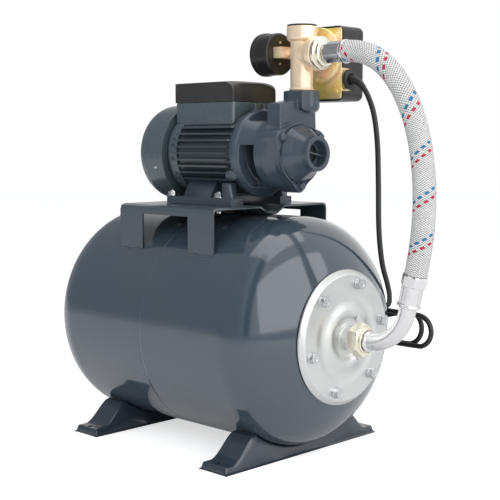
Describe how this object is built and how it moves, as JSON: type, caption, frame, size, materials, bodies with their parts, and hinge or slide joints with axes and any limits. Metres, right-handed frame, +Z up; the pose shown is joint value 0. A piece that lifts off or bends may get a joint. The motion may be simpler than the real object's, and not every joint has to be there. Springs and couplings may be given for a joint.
{
  "type": "booster pump set",
  "caption": "Domestic booster pump set: a peripheral electric pump on a horizontal bladder tank, with a riser manifold, gauge, pressure switch, braided hose and power cord",
  "frame": {"origin": "the middle of the set's bounding box, on the floor under the feet", "axes": "+X along the tank toward its flange and the pump's suction port, +Y across toward the cord side, +Z up"},
  "size_m": [0.5565, 0.3055, 0.5048],
  "materials": {
    "tank_enamel": "gloss",
    "pump_enamel": "semi-gloss",
    "dark_plastic": "satin",
    "black_rubber": "matte",
    "galvanised": "bright",
    "zinc": "bright",
    "chrome": "polished",
    "brass": "machined",
    "pale_brass": "bright",
    "yellow_zinc": "iridescent yellow",
    "steel": "machined",
    "winding": "varnished",
    "white_braid": "woven",
    "dial": "printed",
    "lens": "clear"
  },
  "bodies": {
    "set": {"air_valve": "brass", "air_valve_cap": "black_rubber", "bearing_front": "steel", "bearing_rear": "steel", "braided_hose": "white_braid", "capacitor": "dark_plastic", "cord_hank": "black_rubber", "cord_plug": "black_rubber", "diaphragm_housing": "yellow_zinc", "fan_cover": "pump_enamel", "five_way": "brass", "flange_bolt_1": "zinc", "flange_bolt_2": "zinc", "flange_bolt_3": "zinc", "flange_bolt_4": "zinc", "flange_bolt_5": "zinc", "flange_bolt_6": "zinc", "foot_front": "tank_enamel", "foot_rear": "tank_enamel", "gauge_case": "dark_plastic", "gauge_dial": "dial", "gauge_lens": "lens", "gauge_stem": "yellow_zinc", "hose_elbow": "chrome", "hose_ferrule_lower": "chrome", "hose_ferrule_upper": "chrome", "motor_foot": "pump_enamel", "motor_frame": "pump_enamel", "outlet_cap": "dark_plastic", "power_cord": "black_rubber", "pump_casing": "pump_enamel", "pump_stand": "pump_enamel", "rear_shield": "pump_enamel", "stand_bolt_1": "zinc", "stand_bolt_2": "zinc", "stand_bolt_3": "zinc", "stand_bolt_4": "zinc", "stator": "winding", "suction_cover": "pump_enamel", "switch_base": "yellow_zinc", "switch_cover": "dark_plastic", "switch_gland": "black_rubber", "tank_bladder": "black_rubber", "tank_flange": "galvanised", "tank_nut": "pale_brass", "tank_shell": "tank_enamel", "terminal_box": "pump_enamel", "terminal_lid": "dark_plastic", "union_nut": "pale_brass"},
    "rotating_group": {"motor_shaft": "steel", "rotor": "steel", "fan": "dark_plastic", "shaft_seal": "black_rubber", "impeller": "brass"},
    "needle": {"gauge_needle": "dark_plastic"},
    "check_flap": {"check_valve_flap": "brass"},
    "valve_pin": {"air_valve_pin": "zinc"}
  },
  "joints": [
    {"name": "shaft_spin", "type": "hinge", "parent": "set", "child": "rotating_group", "pos_m": [0, 0, 0.354], "axis": [1, 0, 0], "continuous": true},
    {"name": "needle_swing", "type": "hinge", "parent": "set", "child": "needle", "pos_m": [0.01448, 0.025, 0.4725], "axis": [1, 0, 0], "range_deg": [0, 270], "stiffness_Nm_per_rad": 0.0001},
    {"name": "flap_swing", "type": "hinge", "parent": "set", "child": "check_flap", "pos_m": [0.10218, 0, 0.367], "axis": [0, 1, 0], "range_deg": [0, 35]},
    {"name": "valve_pin_slide", "type": "slide", "parent": "set", "child": "valve_pin", "axis": [1, 0, 0], "range_m": [0, 0.001], "stiffness_N_per_m": 200}
  ]
}
